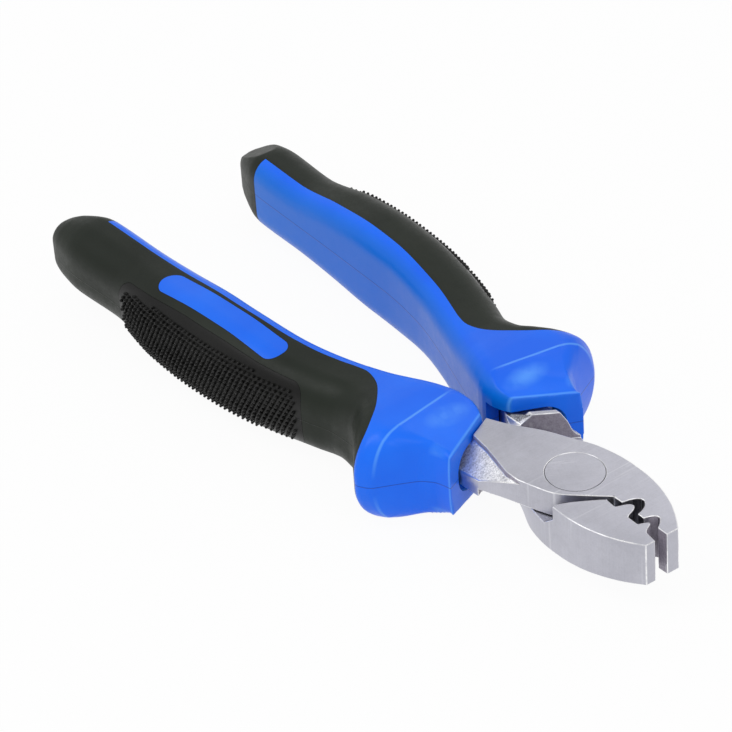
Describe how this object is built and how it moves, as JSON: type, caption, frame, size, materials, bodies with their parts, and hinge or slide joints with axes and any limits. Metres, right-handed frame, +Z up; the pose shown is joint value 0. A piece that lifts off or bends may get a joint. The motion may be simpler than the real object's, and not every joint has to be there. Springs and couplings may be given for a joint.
{
  "type": "crimping pliers",
  "caption": "Hand crimping pliers with a lap joint, a flush rivet, a short jaw with shaped crimping nests, and blue and black grips with finger guards and pimpled pads.",
  "frame": {"origin": "centre of the footprint at the level of the lowest face of the grips, in the pose of the picture", "axes": "+X along the middle line from the grips to the jaw tip, +Z up along the pivot axis"},
  "size_m": [0.1834, 0.0692, 0.0234],
  "materials": {
    "satin_steel": "ground satin",
    "blue_plastic": "semi-gloss",
    "black_rubber": "satin",
    "pad_rubber": "matt, pimpled"
  },
  "bodies": {
    "upper_lever": {"lever_a": "satin_steel", "pivot_rivet": "satin_steel", "grip_core_a": "blue_plastic", "grip_skin_a": "black_rubber", "grip_pad_a": "pad_rubber", "grip_inlay_a": "blue_plastic"},
    "lower_lever": {"lever_b": "satin_steel", "grip_core_b": "blue_plastic", "grip_skin_b": "black_rubber", "grip_pad_b": "pad_rubber", "grip_inlay_b": "blue_plastic"}
  },
  "joints": [
    {"name": "pivot", "type": "hinge", "parent": "upper_lever", "child": "lower_lever", "pos_m": [0.0639, 0, 0.0117], "axis": [0, 0, -1], "range_deg": [-5.5, 30]}
  ]
}
